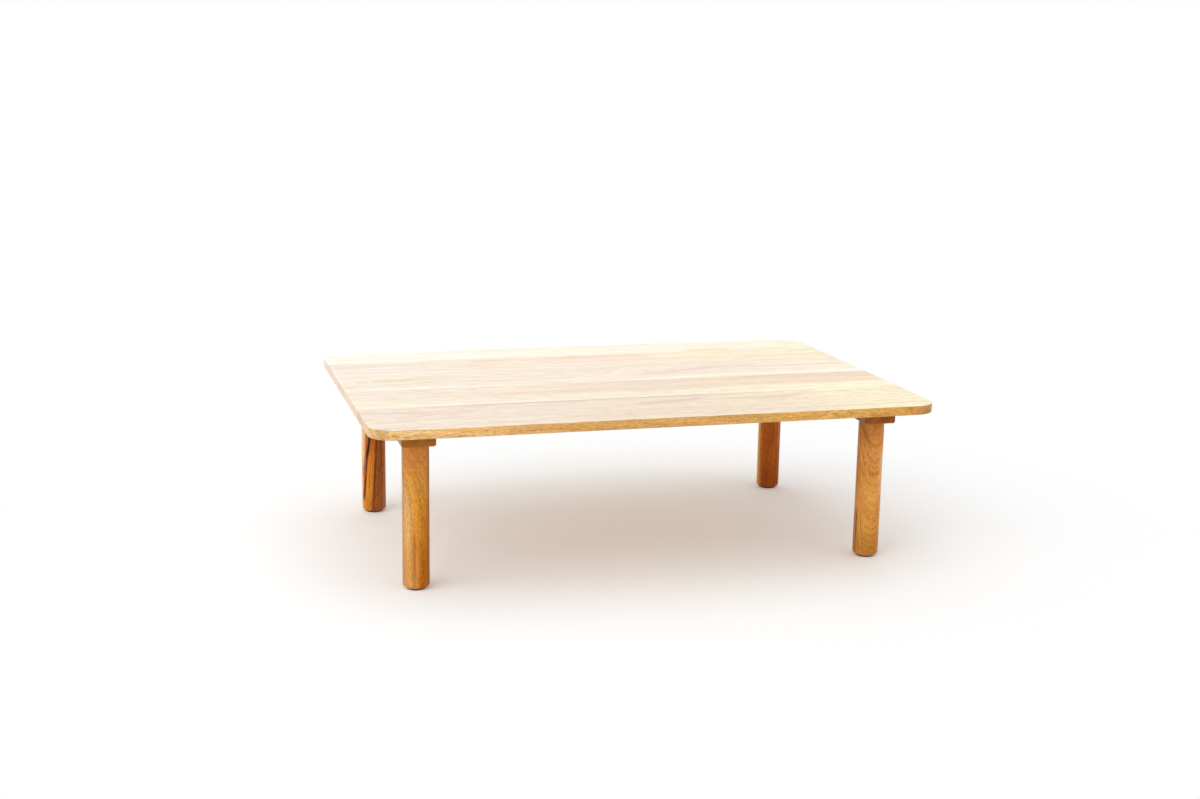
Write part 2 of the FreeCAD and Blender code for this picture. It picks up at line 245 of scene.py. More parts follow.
# Fine shade, roughness and relief of the fibres and the pores
FIBRE_SHADE = (0.84, 1.13)
PORE_SHADE = 0.78
END_SHADE = 0.96
FIBRE_ROUGHNESS = (0.32, 0.42)
PORE_ROUGHNESS = 0.12
FIBRE_HEIGHT = 0.35
PORE_HEIGHT = -0.6


def per_mm(size_mm):
    """The scale at which one unit is a mark's length along and its width across."""
    along, across = size_mm
    return (1 / along, 1 / across, 1 / across)


def make_wood_group():
    """Growth rings about a pith line, sapwood outside a radius, fibres, pores and end grain."""
    tree, g, given, result = new_group("solid_wood", [
        ("Point", VECTOR), ("Seed", FLOAT), ("Pith", VECTOR), ("Lean", VECTOR), ("Bend", VECTOR),
        ("Ring width", FLOAT), ("Figure", FLOAT), ("Contrast", FLOAT), ("Depth", VECTOR),
        ("Lines", FLOAT), ("Flecks", FLOAT), ("Fleck length", FLOAT), ("Fleck width", FLOAT),
        ("Dark rings", VECTOR), ("Darkness", VECTOR), ("Heart", COLOUR), ("Sap", COLOUR),
        ("Sap radius", FLOAT), ("Sap blur", FLOAT), ("Knot", VECTOR), ("Knot colour", COLOUR),
        ("End grain", FLOAT),
    ], [("Colour", COLOUR), ("Roughness", FLOAT), ("Height", FLOAT)])
    point = given["Point"]
    seed = given["Seed"]
    figure = given["Figure"]
    x, y, z = g.split(point)
    away = g.join(*(g.times(seed, step) for step in SEED_STEP_MM))

    def stretched(place, size_mm):
        return g.vector("MULTIPLY", g.vector("ADD", place, away), per_mm(size_mm))

    sway = g.noise(stretched(point, SWAY_MM), detail=1, output="Color")
    ripple = g.noise(stretched(point, RIPPLE_MM), detail=2, output="Color")
    _, sway_y, sway_z = g.split(g.vector("SUBTRACT", sway, (0.5, 0.5, 0.5)))
    _, ripple_y, ripple_z = g.split(g.vector("SUBTRACT", ripple, (0.5, 0.5, 0.5)))
    _, pith_y, pith_z = g.split(given["Pith"])
    _, lean_y, lean_z = g.split(given["Lean"])
    _, bend_y, bend_z = g.split(given["Bend"])
    bent = g.larger(x, 0.0)

    def from_pith(value, pith, lean, bend, sway_part):
        """How far a point is from the pith line, one way. The line bends above the middle."""
        line = g.sum(pith, g.times(lean, x), g.times(bend, bent, bent))
        return g.sum(g.less(value, line), g.times(figure, sway_part, SWAY_REACH_MM))

    across = from_pith(y, pith_y, lean_y, bend_y, sway_y)
    through = from_pith(z, pith_z, lean_z, bend_z, sway_z)
    along_fibres = g.join(x, across, through)
    across = g.sum(across, g.times(figure, ripple_y, RIPPLE_REACH_MM))
    through = g.sum(through, g.times(figure, ripple_z, RIPPLE_REACH_MM))
    radius = g.length(across, through)

    knot_x, knot_y, knot_size = g.split(given["Knot"])
    knot_along = g.divide(g.less(x, knot_x), g.times(knot_size, KNOT_STRETCH))
    wavy_y = g.sum(g.less(y, knot_y), g.times(ripple_y, KNOT_WAVE_MM))
    knot_across = g.divide(wavy_y, knot_size)
    knot_far = g.sum(g.times(knot_along, knot_along), g.times(knot_across, knot_across))
    knot = g.math("EXPONENT", g.times(knot_far, -1.0))
    radius = g.sum(radius, g.times(knot, knot_size, KNOT_BULGE))

    turns = g.divide(radius, given["Ring width"])

    def by_ring(rates, layer):
        """A place in the noise that moves with the rings and slowly along the trunk."""
        per_ring, per_height = rates
        return g.join(g.times(turns, per_ring), g.times(x, per_height), layer)

    crowding = g.noise(g.join(g.times(turns, CROWDING_RATE), seed, CROWDING_LAYER), detail=1)
    phase = g.math("FRACT", g.sum(turns, g.times(crowding, CROWDING)))
    late_line = g.math("POWER", phase, LATE_WOOD_POWER)
    line_strength = g.noise(by_ring(LINE_RATES, seed), detail=1)
    broad = g.noise(by_ring(BAND_RATES, g.sum(seed, BAND_LAYER)), detail=3, roughness=0.6)

    mottle = g.noise(stretched(along_fibres, MOTTLE_MM))
    silk = g.noise(stretched(along_fibres, SILK_MM))
    fibre = g.noise(stretched(along_fibres, FIBRE_MM), detail=3, roughness=0.7)
    pore = g.ramp(g.noise(stretched(along_fibres, PORE_MM), detail=1), 0.60, 0.72)
    _, fleck_y, fleck_z = g.split(g.vector("ADD", along_fibres, away))
    fleck_place = g.join(g.divide(x, given["Fleck length"]),
                         g.divide(fleck_y, given["Fleck width"]),
                         g.divide(fleck_z, given["Fleck width"]))
    fleck = g.noise(fleck_place, detail=2, roughness=0.6)

    lines = g.times(late_line, g.ramp(line_strength, 0.25, 0.6), given["Lines"], LINE_TONE)
    tone = g.sum(g.ramp(broad, 0.34, 0.68, 0, BAND_TONE), lines,
                 g.spread(silk, *SILK_TONE), g.spread(mottle, *MOTTLE_TONE))
    swing = g.times(g.less(tone, MIDDLE_TONE), given["Contrast"])
    flecks = g.times(g.ramp(fleck, 0.34, 0.66, -0.5, 0.5), given["Flecks"])
    dark_rings = zip(g.split(given["Dark rings"]), g.split(given["Darkness"]))
    dark = g.sum(*(g.times(g.ramp(g.absolute(g.less(radius, ring)), *DARK_RING_MM, 1, 0), strength)
                   for ring, strength in dark_rings))
    dark = g.times(dark, g.ramp(silk, 0.3, 0.6, 0.6, 1.0))
    swing = g.sum(swing, flecks, dark)
    shades = (g.less(1.0, g.times(swing, depth)) for depth in g.split(given["Depth"]))
    shade = g.join(*(g.math("MINIMUM", g.larger(value, LEAST_SHADE), MOST_SHADE)
                     for value in shades))

    reach = given["Sap radius"]
    blur = given["Sap blur"]
    edge = g.sum(radius, g.times(g.ramp(mottle, 0.2, 0.8, -1.3, 1.3, smooth=False), blur))
    sap = g.ramp(edge, g.less(reach, blur), g.sum(reach, blur))
    colour = g.tinted(g.mix(sap, given["Heart"], given["Sap"]), shade)
    colour = g.mix(g.ramp(knot, 0.45, 0.95, 0, KNOT_COVER), colour, given["Knot colour"])
    grain = g.times(g.ramp(fibre, 0.25, 0.75, *FIBRE_SHADE, smooth=False),
                    g.ramp(pore, 0, 1, 1.0, PORE_SHADE, smooth=False),
                    g.ramp(given["End grain"], 0, 1, 1.0, END_SHADE, smooth=False))

    g.fill(result, {
        "Colour": g.tinted(colour, g.join(grain, grain, grain)),
        "Roughness": g.sum(g.ramp(fibre, 0.2, 0.8, *FIBRE_ROUGHNESS),
                           g.times(pore, PORE_ROUGHNESS)),
        "Height": g.sum(g.times(fibre, FIBRE_HEIGHT), g.times(pore, PORE_HEIGHT)),
    })
    return tree


STREAK_SWAY_MM = (260, 120)
STREAK_FEATHER_MM = (110, 3.5)
STREAK_SEED_STEP_MM = 613.0


def make_streak_group():
    """How strongly a streak marks a point: a feathered band that follows the grain. It draws the
    mineral streaks, and along the legs' rims also painted highlight and painted shade.
    """
    tree, g, given, result = new_group("streak_and_painted_rim_light", [
        ("Point", VECTOR), ("Seed", FLOAT), ("Middle", VECTOR), ("Slope", FLOAT),
        ("Half length", FLOAT), ("Half width", FLOAT), ("Wander", FLOAT), ("Strength", FLOAT),
    ], [("Stain and painted light", FLOAT)])
    width = given["Half width"]
    x, y, _ = g.split(g.vector("SUBTRACT", given["Point"], given["Middle"]))
    away = g.join(g.times(given["Seed"], STREAK_SEED_STEP_MM), 0.0, 0.0)
    place = g.vector("ADD", given["Point"], away)
    sway = g.noise(g.vector("MULTIPLY", place, per_mm(STREAK_SWAY_MM)), detail=2)
    feather = g.noise(g.vector("MULTIPLY", place, per_mm(STREAK_FEATHER_MM)), detail=3)
    bow = g.times(g.ramp(sway, 0.2, 0.8, -1, 1, smooth=False), given["Wander"], width)
    apart = g.absolute(g.sum(g.less(y, g.times(given["Slope"], x)), bow))
    apart = g.divide(apart, width)
    beyond = g.divide(g.absolute(x), given["Half length"])
    band = g.times(g.ramp(apart, 0.25, 1.3, 1, 0), g.ramp(beyond, 0.55, 1.0, 1, 0),
                   g.ramp(feather, 0.25, 0.65, 0.45, 1.0))
    g.fill(result, {"Stain and painted light": g.math("MULTIPLY", band, given["Strength"], clamp=True)})
    return tree


WOOD = make_wood_group()
STREAK = make_streak_group()
GRAIN_ORDER = {"X": "XYZ", "Y": "YXZ", "Z": "ZXY"}

# How far a surface turns to its end grain, a side or the underside, as parts of its direction
END_FACING = (0.75, 0.97)
SIDE_FACING = (0.2, 0.8)
UNDER_FACING = (-0.8, -0.2)

# The sides of the boards have finer and stronger flecks, and their underside is warmer
SIDE_FLECK_LENGTH_MM = 11.0
SIDE_FLECK_WIDTH_MM = 1.6
SIDE_FLECK_GAIN = 1.35
UNDER_TINT = (0.98, 0.90, 0.76, 1.0)

# A knot and sapwood so far outside a piece that they never show, and how softly sap begins
NO_KNOT = (5000, 0, 1)
NO_KNOT_COLOUR = (0.1, 0.05, 0.03, 1.0)
NO_SAP_RADIUS_MM = 1000.0
SAP_BLUR_MM = 7.0


def along_grain(g, x, stops):
    """A colour that changes along the grain, through stops of a place in mm and a colour."""
    colour = stops[0][1]
    for (start, _), (end, following) in zip(stops, stops[1:]):
        colour = g.mix(g.ramp(x, start, end), colour, following)
    return colour


def streak(x_mm, y_mm, half_length, half_width, strength, colour, slope=0.0, wander=1.6):
    """A streak, with its place and size in mm and its colour. Most are mineral streaks; some along
    the legs' rims are painted highlight and painted shade.
    """
    return {"Middle": (x_mm, y_mm, 0), "Slope": slope, "Half length": half_length,
            "Half width": half_width, "Wander": wander, "Strength": strength, "colour": colour}


def stripe(x_mm, y_mm, half_length, half_width, strength, colour, slope=0.0):
    """A streak that keeps close to its line."""
    return streak(x_mm, y_mm, half_length, half_width, strength, colour, slope, wander=0.3)


def wood_graph(g, grain, middle, look):
    """The outputs of the wood group, the way the surface faces and the place on the piece."""
    own = g.vector("MULTIPLY", g.vector("SUBTRACT", g.place(), tuple(middle)), (1 / MM,) * 3)
    parts = dict(zip("XYZ", g.split(own)))
    point = g.join(*(parts[axis] for axis in GRAIN_ORDER[grain]))
    facing = dict(zip("XYZ", g.facing()))
    cut = g.ramp(g.absolute(facing[grain]), *END_FACING)

    is_board = "end" in look
    heart = along_grain(g, parts[grain], look["heart"])
    sap = along_grain(g, parts[grain], look.get("sap", look["heart"]))
    depth = look.get("depth", PALE_DEPTH if is_board else BROWN_DEPTH)
    flecks = look["flecks"]
    fleck_length = look["fleck_length"]
    fleck_width = look["fleck_mm"]
    if is_board:
        under = g.ramp(facing["Z"], *UNDER_FACING, 1.0, 0.0)
        side = g.ramp(g.absolute(facing["Z"]), *SIDE_FACING, 1.0, 0.0)
        heart = g.mix(under, heart, g.tinted(heart, UNDER_TINT))
        sap = g.mix(under, sap, g.tinted(sap, UNDER_TINT))
        # The long sides take the golden edge colour; the paler upper face is partly painted sheen
        if "edge" in look:
            heart = g.mix(side, heart, along_grain(g, parts[grain], look["edge"]))
        # The end faces take the end colour, which is partly the wood's tone and partly painted
        # light
        heart = g.mix(cut, heart, look["end"])
        sap = g.mix(cut, sap, look["end"])
        depth = g.mix(side, (*depth, 1.0), (*SIDE_DEPTH, 1.0))
        flecks = g.ramp(side, 0, 1, flecks, flecks * SIDE_FLECK_GAIN)
        fleck_length = g.ramp(side, 0, 1, fleck_length, SIDE_FLECK_LENGTH_MM)
        fleck_width = g.ramp(side, 0, 1, fleck_width, SIDE_FLECK_WIDTH_MM)
    for marks in look.get("streaks", ()):
        found = g.add("ShaderNodeGroup", {"Point": point, "Seed": look["seed"]}, STREAK)
        g.fill(found, {key: value for key, value in marks.items() if key != "colour"})
        # Each streak recolours heart and sap: mineral streaks, and along the legs' rims painted
        # highlight and painted shade
        heart = g.mix(found.outputs["Stain and painted light"], heart, marks["colour"])
        sap = g.mix(found.outputs["Stain and painted light"], sap, marks["colour"])

    wood = g.add("ShaderNodeGroup", {
        "Point": point, "Seed": look["seed"], "Pith": look["pith"], "Lean": look["lean"],
        "Bend": look.get("bend", (0, 0, 0)), "Ring width": look["ring_mm"],
        "Figure": look["figure"], "Contrast": look["contrast"], "Depth": depth,
        "Lines": look.get("lines", 1.0), "Flecks": flecks, "Fleck length": fleck_length,
        "Fleck width": fleck_width, "Dark rings": look.get("dark_rings", (0, 0, 0)),
        "Darkness": look.get("darkness", (0, 0, 0)), "Heart": heart, "Sap": sap,
        "Sap radius": look.get("sap_radius", NO_SAP_RADIUS_MM),
        "Sap blur": look.get("sap_blur", SAP_BLUR_MM), "Knot": look.get("knot", NO_KNOT),
        "Knot colour": look.get("knot_colour", NO_KNOT_COLOUR), "End grain": cut,
    }, WOOD)
    return wood.outputs, facing, parts


COAT_IOR = 1.5
WOOD_RELIEF = 0.35
WOOD_RELIEF_MM = 0.12


def finish_wood(g, shader, wood, colour, coat, coat_roughness, specular):
    """The satin finish: the wood's colour and relief, and a clear coat over it."""
    g.fill(shader, {
        "Base Color": colour, "Roughness": wood["Roughness"], "Specular IOR Level": specular,
        "Normal": g.bump(wood["Height"], WOOD_RELIEF, WOOD_RELIEF_MM),
        "Coat Weight": coat, "Coat Roughness": coat_roughness, "Coat IOR": COAT_IOR,
    })


GLUE_LINE_MM = 0.5
GLUE_STRENGTH = 0.45
GLUE_TINT = tint(120, 78, 44)

# The outline of the top, the widest piece, about the middle of the frame
TOP_HALF = (cad_box[1].x, cad_box[1].y)
CORNER_RADIUS = 0.05

# The painted highlight along the arris of the top, a paler band that stands in for the light
# that the rounded arris catches: how far in it is palest and where that ends, what it does to
# red, green and blue, and how strong it is on each side
RIM_OUTER_MM = 4
RIM_INNER_MM = 9
ARRIS_HIGHLIGHT_GAIN = (1.12, 1.34, 1.55, 1.0)
RIM_AT_ENDS = 0.3
RIM_AT_FRONT = 0.9
RIM_AT_BACK = 0.35

# Added to a length before it divides another, so that nothing is divided by zero
LEAST_LENGTH_MM = 0.1

# How strong the lacquer is on the upper face, the end grain and the rest of a board, and on
# the legs and battens where they face left and elsewhere
UPPER_COAT = 1.0
END_COAT = 0.5
OTHER_COAT = 0.2
PLAIN_COAT_LEFT = 0.30
PLAIN_COAT = 0.05


def painted_arris_highlight(g):
    """Painted highlight along the arris of the top, standing in for the light that it catches:
    most along the front, fading inwards.
    """
    x, y, _ = g.split(g.place())
    beyond = [g.less(g.absolute(place), half - CORNER_RADIUS)
              for place, half in zip((x, y), TOP_HALF)]
    past = [g.larger(value, 0.0) for value in beyond]
    round_part = g.length(*past)
    reach = g.larger(round_part, g.larger(*beyond))
    frontal = g.divide(past[1], g.sum(round_part, LEAST_LENGTH_MM * MM))
    along_sides = g.ramp(y, -TOP_HALF[1] / 2, TOP_HALF[1] / 2, RIM_AT_FRONT, RIM_AT_BACK)
    inwards = g.ramp(reach, CORNER_RADIUS - RIM_INNER_MM * MM, CORNER_RADIUS - RIM_OUTER_MM * MM)
    return g.times(inwards, g.ramp(frontal, 0, 1, RIM_AT_ENDS, along_sides))


def board_material(name, middle, half_width_mm, look):
    """A board of the top: lacquered most on its upper face, with a hairline at its joints and a
    painted highlight along the arris.
    """
    material, g, shader = start_material(name)
    wood, facing, parts = wood_graph(g, "X", middle, look)
    joint = g.ramp(g.absolute(parts["Y"]), half_width_mm - GLUE_LINE_MM,
                   half_width_mm - GLUE_LINE_MM / 4)
    joint = g.times(joint, g.ramp(g.absolute(facing["Y"]), 0.0, 0.3, 1, 0))
    colour = g.mix(g.times(joint, GLUE_STRENGTH), wood["Colour"], GLUE_TINT)
    # Painted highlight: the top near its arris is made paler, standing in for the light that the
    # arris catches
    rim = g.times(painted_arris_highlight(g), g.ramp(facing["Z"], 0.5, 0.8))
    colour = g.mix(rim, colour, ARRIS_HIGHLIGHT_GAIN, blend="MULTIPLY")
    coat = g.larger(g.ramp(facing["Z"], 0.1, 0.8, OTHER_COAT, UPPER_COAT),
                    g.ramp(g.absolute(facing["X"]), 0.5, 0.95, OTHER_COAT, END_COAT))
    finish_wood(g, shader, wood, colour, coat, coat_roughness=0.20, specular=0.25)
    return material


def plain_wood_material(name, grain, middle, look):
    """A leg or batten: oiled, with a thin coat."""
    material, g, shader = start_material(name)
    wood, facing, _ = wood_graph(g, grain, middle, look)
    coat = g.ramp(facing["X"], -1.0, 0.3, PLAIN_COAT_LEFT, PLAIN_COAT)
    finish_wood(g, shader, wood, wood["Colour"], coat, coat_roughness=0.30, specular=0.10)
    return material


def dress(node, material):
    """Give a CAD node its material."""
    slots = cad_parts[node].data.materials
    slots.clear()
    slots.append(material)


def middle_of(node):
    low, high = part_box(node)
    return (low + high) / 2


# The boards of the top, front to back. Places are in mm from each board's own middle. pith is
# where the middle of the trunk passed, and lean and bend are its slant. heart, sap and edge are
# colours along the grain: of the heartwood, of the sapwood that begins at sap_radius from the
# pith, and of the long side. The upper face is paler than the golden long side, partly the
# boards' own tone and partly painted sheen. end is the colour of the end grain, paler than the
# heartwood: partly the wood's own tone and partly painted light on the end faces.

EDGE_GOLD = [(-560, tint(247, 202, 136)), (-385, tint(242, 188, 116)), (-270, tint(227, 170, 98)),
             (-165, tint(220, 163, 89)), (-60, tint(223, 166, 93)), (55, tint(230, 172, 97)),
             (164, tint(221, 164, 88)), (273, tint(236, 177, 92)), (382, tint(238, 182, 100)),
             (500, tint(230, 168, 83)), (592, tint(196, 138, 72))]
GOLD_BROWN = tint(176, 116, 20)
PALE_BROWN = tint(184, 140, 82)
ORANGE = tint(212, 162, 78)

BOARD_LOOKS = {
    "top_board_1": dict(
        end=tint(226, 180, 112), seed=1.3,
        pith=(0, 38, -74), lean=(0, 0.02, 0.006), ring_mm=5.2, figure=0.8, contrast=1.35,
        flecks=1.1, fleck_mm=5.5, fleck_length=40.0,
        heart=[(-450, tint(207, 173, 134)), (-100, tint(203, 163, 111)),
               (250, tint(210, 170, 103)), (500, tint(227, 202, 119))],
        edge=EDGE_GOLD,
        streaks=[streak(-540, 48, 110, 14, 0.9, PALE_BROWN),
                 streak(-250, 50, 230, 12, 0.4, tint(188, 146, 92)),
                 streak(50, 50, 100, 17, 0.85, tint(166, 104, 12), slope=0.2, wander=0.6),
                 stripe(70, 58, 70, 7, 0.6, tint(160, 96, 10), slope=0.1),
                 streak(245, 50, 120, 9, 0.9, GOLD_BROWN, wander=0.8),
                 stripe(-68, -44, 12, 6, 0.7, PALE_BROWN),
                 stripe(137, -32, 26, 5, 0.7, GOLD_BROWN, slope=0.3),
                 streak(-545, 90, 90, 7, 0.8, tint(214, 178, 92)),
                 streak(-588, -84, 26, 7, 0.5, tint(176, 126, 56), slope=-0.5),
                 stripe(-85, 94.5, 420, 4.6, 1.4, tint(164, 92, 4), slope=0.008)]),
    "top_board_2": dict(
        end=tint(244, 204, 160), seed=4.1,
        pith=(0, 60, -60), lean=(0, -0.01, 0.01), ring_mm=4.6, figure=0.8, contrast=1.4,
        flecks=0.95, fleck_mm=5.5, fleck_length=45.0,
        heart=[(-450, tint(217, 183, 143)), (0, tint(211, 167, 103)), (350, tint(214, 163, 84)),
               (560, tint(219, 167, 84))],
        sap=[(-450, tint(219, 196, 149)), (0, tint(222, 195, 140)), (400, tint(229, 211, 147)),
             (560, tint(231, 218, 154))],
        sap_radius=104,
        streaks=[stripe(435, 82, 188, 4.6, 1.3, tint(184, 116, 14)),
                 streak(90, 62, 260, 12, 0.5, tint(188, 138, 78)),
                 streak(-180, 10, 170, 9, 0.45, tint(196, 148, 84))]),
    "top_board_3": dict(
        end=tint(240, 207, 170), seed=7.7,
        pith=(0, 22, -60), lean=(0, 0.03, 0.03), ring_mm=5.4, figure=1.1, contrast=1.5,
        flecks=0.85, fleck_mm=5.5, fleck_length=55.0,
        heart=[(-550, tint(222, 197, 157)), (-200, tint(223, 192, 153)),
               (200, tint(222, 188, 145)), (550, tint(229, 196, 147))],
        sap=[(-450, tint(224, 209, 187)), (450, tint(231, 217, 189))],
        sap_radius=107, knot=(-552, 12, 9), knot_colour=tint(190, 140, 62),
        streaks=[streak(-190, -27, 130, 8, 0.8, tint(200, 158, 84)),
                 streak(165, 4, 125, 14, 0.7, tint(184, 134, 62), slope=0.26, wander=0.5),
                 streak(410, 22, 240, 6, 0.7, tint(196, 150, 100)),
                 stripe(-525, 10, 50, 6, 0.5, tint(196, 146, 66), slope=0.12),
                 streak(-450, -25, 70, 8, 0.6, tint(204, 152, 92))]),
    "top_board_4": dict(
        end=tint(242, 208, 172), seed=9.2,
        pith=(0, 40, 88), lean=(0, 0.015, -0.01), ring_mm=5.5, figure=0.7, contrast=1.1,
        flecks=0.75, fleck_mm=6.0, fleck_length=65.0,
        heart=[(-550, tint(227, 204, 175)), (0, tint(231, 195, 151)), (350, tint(232, 196, 128)),
               (560, tint(234, 205, 132))],
        sap=[(-450, tint(226, 211, 189)), (450, tint(229, 202, 151))],
        sap_radius=132,
        streaks=[streak(-210, 34, 300, 20, 0.6, tint(230, 196, 126)),
                 streak(40, 36, 160, 18, 1.0, tint(212, 150, 50), wander=0.6),
                 streak(555, 42, 50, 9, 0.8, ORANGE),
                 streak(-350, -8, 160, 5, 0.35, tint(206, 162, 128))]),
    "top_board_5": dict(
        end=tint(248, 214, 178), seed=12.4,
        pith=(0, -20, -110), lean=(0, 0.01, 0.008), ring_mm=6.1, figure=0.7, contrast=0.6,
        flecks=0.4, fleck_mm=6.0, fleck_length=65.0,
        heart=[(-550, tint(240, 236, 210)), (0, tint(237, 226, 184)), (350, tint(238, 223, 176)),
               (560, tint(240, 228, 178))],
        edge=EDGE_GOLD,
        streaks=[streak(325, -44, 75, 12, 1.0, tint(222, 164, 48), wander=0.5),
                 streak(500, -46, 50, 8, 0.6, tint(216, 178, 84))]),
}


# The legs, x up the leg, and the battens, x along them

LEG_LOOKS = {
    "leg_front_left": dict(
        seed=21.0, pith=(0, -79, 13), lean=(0, 0, 0), bend=(0, -0.0027, 0.0004),
        ring_mm=7.0, figure=0.4, contrast=1.5, lines=0.8, flecks=1.3, fleck_mm=1.7,
        fleck_length=8.0,
        heart=[(-110, tint(211, 150, 74)), (-30, tint(221, 163, 93)), (50, tint(218, 164, 102)),
               (90, tint(219, 162, 99)), (125, tint(209, 146, 82))],
        # The right side is darker and deeper orange, through these sap colours and the dark
        # stripes along the right rim: partly the wood's own colour and partly painted shade
        sap=[(-110, tint(194, 113, 14)), (-20, tint(215, 138, 38)), (60, tint(225, 156, 62)),
             (120, tint(222, 147, 62))],
        sap_radius=85, sap_blur=13,
        streaks=[stripe(136, -2, 34, 19, 0.9, tint(217, 136, 65)),
                 stripe(0, 27, 330, 8, 0.6, tint(160, 84, 8), slope=0.01),
                 stripe(112, 25.5, 60, 4, 0.7, tint(110, 54, 14)),
                 stripe(12, 5, 55, 4, 0.6, tint(226, 150, 20)),
                 stripe(-80, -7, 60, 3.2, 0.7, tint(166, 92, 34)),
                 stripe(-95, 3, 70, 1.4, 0.5, tint(160, 86, 24)),
                 stripe(0, -27.5, 200, 4.2, 0.65, tint(170, 116, 68))]),
    "leg_front_right": dict(
        seed=25.0, pith=(0, -1, 41.5), lean=(0, 0, 0.25), ring_mm=4.2, figure=0.12,
        contrast=1.45, depth=(0.18, 0.33, 0.46), lines=1.4, flecks=1.15, fleck_mm=1.7,
        fleck_length=8.0,
        dark_rings=(78.4, 84.6, 93.0), darkness=(1.5, 0.6, 0.6),
        heart=[(-135, tint(206, 136, 54)), (-60, tint(230, 159, 72)), (-15, tint(236, 167, 80)),
               (40, tint(228, 152, 69)), (88, tint(240, 168, 86)), (125, tint(217, 143, 64))],
        streaks=[stripe(112, -16, 30, 4, 0.3, tint(150, 92, 48), slope=-0.27),
                 stripe(133, -24, 26, 2.5, 0.35, tint(136, 80, 36), slope=-0.2),
                 # Thin dark line along the lower left rim: partly the brown rim of the wood and
                 # partly painted shade
                 stripe(-105, -27.0, 75, 0.9, 0.8, tint(140, 76, 30)),
                 stripe(-94, -22.4, 56, 0.8, 0.6, tint(244, 186, 110), slope=-0.058),
                 stripe(-90, -20.8, 56, 0.8, 0.6, tint(176, 104, 42), slope=-0.058),
                 # Thin dark line along the upper left rim: partly the brown rim of the wood and
                 # partly painted shade
                 stripe(40, -27.5, 100, 1.0, 0.4, tint(146, 86, 36)),
                 stripe(40, 18, 60, 8, 0.7, tint(255, 202, 146))]),
    "leg_back_left": dict(
        seed=31.0, pith=(0, 59, 0), lean=(0, 0.06, 0), ring_mm=5.0, figure=0.08, contrast=1.0,
        flecks=1.5, fleck_mm=1.8, fleck_length=14.0,
        heart=[(-100, tint(160, 90, 36)), (130, tint(146, 72, 22))],
        sap=[(-100, tint(222, 140, 32)), (-30, tint(220, 134, 32)), (20, tint(194, 108, 26))],
        sap_radius=66.2, sap_blur=0.8,
        # The two pale stripes along the left rim are partly the pale sapwood and partly painted
        # highlight
        streaks=[stripe(60, -26, 150, 6.4, 1.1, tint(255, 214, 158), slope=0.03),
                 stripe(-105, -29, 135, 3.6, 1.0, tint(246, 186, 122)),
                 stripe(0, -16.8, 76, 4.4, 1.0, tint(186, 64, 12), slope=0.12),
                 stripe(3, -15.7, 76, 2.5, 1.8, tint(46, 10, 2), slope=0.12),
                 stripe(-70, -22.4, 66, 2.6, 1.2, tint(206, 74, 4), slope=0.058),
                 stripe(-62, -21.2, 70, 1.5, 1.8, tint(48, 10, 2), slope=0.058),
                 stripe(0, 22, 300, 8, 0.7, tint(204, 128, 70)),
                 stripe(-45, -21.2, 26, 0.5, 0.7, tint(200, 150, 120), slope=0.07),
                 stripe(0, 2.2, 200, 1.2, 0.9, tint(100, 34, 8), slope=0.06),
                 stripe(-40, 5, 130, 1.2, 0.7, tint(186, 120, 62), slope=0.03),
                 stripe(-20, 8, 120, 0.8, 0.6, tint(96, 40, 14), slope=0.03),
                 stripe(20, 10, 90, 1.2, 0.5, tint(184, 116, 60), slope=0.03),
                 stripe(-60, 15, 120, 0.9, 0.5, tint(96, 42, 16)),
                 stripe(-95, 13, 50, 1.6, 0.5, tint(170, 112, 60))]),
    "leg_back_right": dict(
        seed=36.0, pith=(0, -80, 40), lean=(0, 0.01, 0.01), ring_mm=4.5, figure=0.3,
        contrast=1.0, flecks=1.4, fleck_mm=2.2, fleck_length=5.5,
        heart=[(-130, tint(166, 80, 4)), (-60, tint(188, 96, 8)), (130, tint(196, 106, 14))],
        streaks=[stripe(-70, 14, 110, 11, 0.5, tint(156, 74, 4)),
                 stripe(-12, -2, 36, 6, 0.5, tint(112, 54, 20)),
                 stripe(0, 17, 60, 6, 0.5, tint(200, 124, 76)),
                 # Painted highlight: the two bright stripes along the whole left rim stand in for
                 # the light that the rim catches
                 stripe(0, -27.5, 400, 5.5, 0.6, tint(230, 150, 44)),
                 stripe(0, -27.5, 400, 1.8, 0.9, tint(255, 194, 74))]),
}

BATTEN_LOOKS = {
    "batten_left": dict(
        seed=41.0, pith=(0, 40, 60), lean=(0, 0.01, 0.01), ring_mm=4.5, figure=0.5,
        contrast=1.5, flecks=1.0, fleck_mm=3.0, fleck_length=20.0,
        heart=[(-300, tint(176, 108, 30)), (300, tint(186, 116, 48))]),
    "batten_right": dict(
        seed=46.0, pith=(0, -50, 50), lean=(0, 0.01, 0.01), ring_mm=4.2, figure=0.5,
        contrast=1.5, flecks=1.0, fleck_mm=3.0, fleck_length=20.0,
        heart=[(-300, tint(165, 94, 27)), (300, tint(190, 112, 50))]),
}


def dress_wood():
    for node, look in BOARD_LOOKS.items():
        low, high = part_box(node)
        half_width_mm = (high.y - low.y) / 2 / MM
        dress(node, board_material(f"wood_{node}", middle_of(node), half_width_mm, look))
    for grain, looks in (("Z", LEG_LOOKS), ("Y", BATTEN_LOOKS)):
        for node, look in looks.items():
            dress(node, plain_wood_material(f"wood_{node}", grain, middle_of(node), look))


# Hardware and glides

PLATE_CLOUD_SCALE = 260.0
PLATE_SPECK_SCALE = 2600.0
PLATE_RELIEF = 0.25
PLATE_RELIEF_MM = 0.03
GLIDE_CLOUD_SCALE = 180.0
GLIDE_GRAIN_SCALE = 1900.0
GLIDE_RELIEF = 0.4
GLIDE_RELIEF_MM = 0.05
SCUFF_STRENGTH = 0.4


